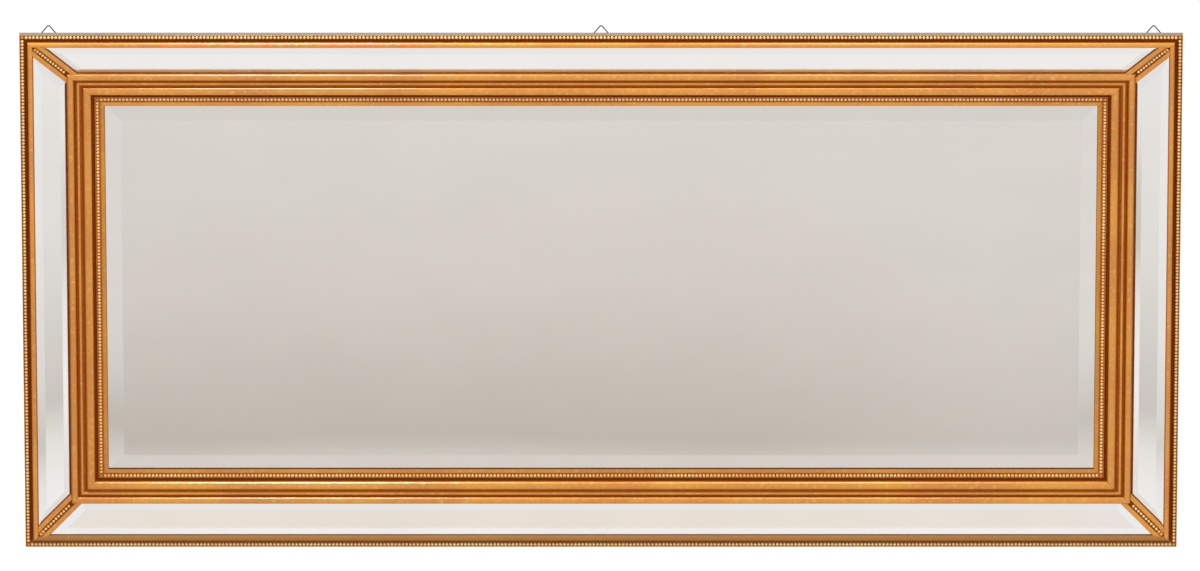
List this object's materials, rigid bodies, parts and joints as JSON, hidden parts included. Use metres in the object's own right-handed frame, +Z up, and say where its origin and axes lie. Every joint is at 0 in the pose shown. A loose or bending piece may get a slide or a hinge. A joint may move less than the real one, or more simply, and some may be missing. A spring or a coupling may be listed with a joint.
{
  "type": "beveled mirror",
  "caption": "Wide beveled wall mirror with a beaded gilt outer frame, beveled mirrored margins, beaded corner bars, a gilt inner frame and swivelling wire hangers.",
  "frame": {"origin": "middle of the flat back, on the wall plane", "axes": "+X along the mirror to the viewer's right, +Z up, -Y out from the wall towards the viewer"},
  "size_m": [1.6, 0.03, 0.8034],
  "materials": {
    "gilt": "gold leaf on red bole, worn",
    "gilt_beads": "gold leaf, burnished",
    "margin_glass": "silvered, bevelled",
    "plate_glass": "silvered, bevelled",
    "bed_wood": "raw pine",
    "carcass_wood": "raw wood",
    "board": "hardboard",
    "wire": "blackened",
    "strap_metal": "zinc",
    "fastener": "zinc"
  },
  "bodies": {
    "mirror": {"outer_rail_bottom": "gilt", "outer_rail_left": "gilt", "outer_rail_top": "gilt", "outer_rail_right": "gilt", "outer_beads_bottom": "gilt_beads", "outer_beads_left": "gilt_beads", "outer_beads_top": "gilt_beads", "outer_beads_right": "gilt_beads", "inner_rail_bottom": "gilt", "inner_rail_left": "gilt", "inner_rail_top": "gilt", "inner_rail_right": "gilt", "inner_beads_bottom": "gilt_beads", "inner_beads_left": "gilt_beads", "inner_beads_top": "gilt_beads", "inner_beads_right": "gilt_beads", "margin_glass_bottom": "margin_glass", "margin_glass_left": "margin_glass", "margin_glass_top": "margin_glass", "margin_glass_right": "margin_glass", "margin_bed_bottom": "bed_wood", "margin_bed_left": "bed_wood", "margin_bed_top": "bed_wood", "margin_bed_right": "bed_wood", "carcass_batten_bottom": "carcass_wood", "carcass_batten_left": "carcass_wood", "carcass_batten_top": "carcass_wood", "carcass_batten_right": "carcass_wood", "corner_bar_bottom_left": "gilt", "corner_bar_top_left": "gilt", "corner_bar_top_right": "gilt", "corner_bar_bottom_right": "gilt", "corner_beads_bottom_left": "gilt_beads", "corner_beads_top_left": "gilt_beads", "corner_beads_top_right": "gilt_beads", "corner_beads_bottom_right": "gilt_beads", "hanger_strap_left": "strap_metal", "hanger_strap_middle": "strap_metal", "hanger_strap_right": "strap_metal", "main_mirror": "plate_glass", "back_board": "board", "back_brace": "carcass_wood", "frame_screws": "fastener", "board_pins": "fastener", "strap_screws": "fastener", "mitre_nails": "fastener"},
    "loop_left": {"hanger_loop_left": "wire"},
    "loop_middle": {"hanger_loop_middle": "wire"},
    "loop_right": {"hanger_loop_right": "wire"}
  },
  "joints": [
    {"name": "loop_left_swing", "type": "hinge", "parent": "mirror", "child": "loop_left", "pos_m": [-0.76, -0.0019, 0.38595], "axis": [-1, 0, 0], "range_deg": [0, 175]},
    {"name": "loop_middle_swing", "type": "hinge", "parent": "mirror", "child": "loop_middle", "pos_m": [0, -0.0019, 0.38595], "axis": [-1, 0, 0], "range_deg": [0, 175]},
    {"name": "loop_right_swing", "type": "hinge", "parent": "mirror", "child": "loop_right", "pos_m": [0.76, -0.0019, 0.38595], "axis": [-1, 0, 0], "range_deg": [0, 175]}
  ]
}
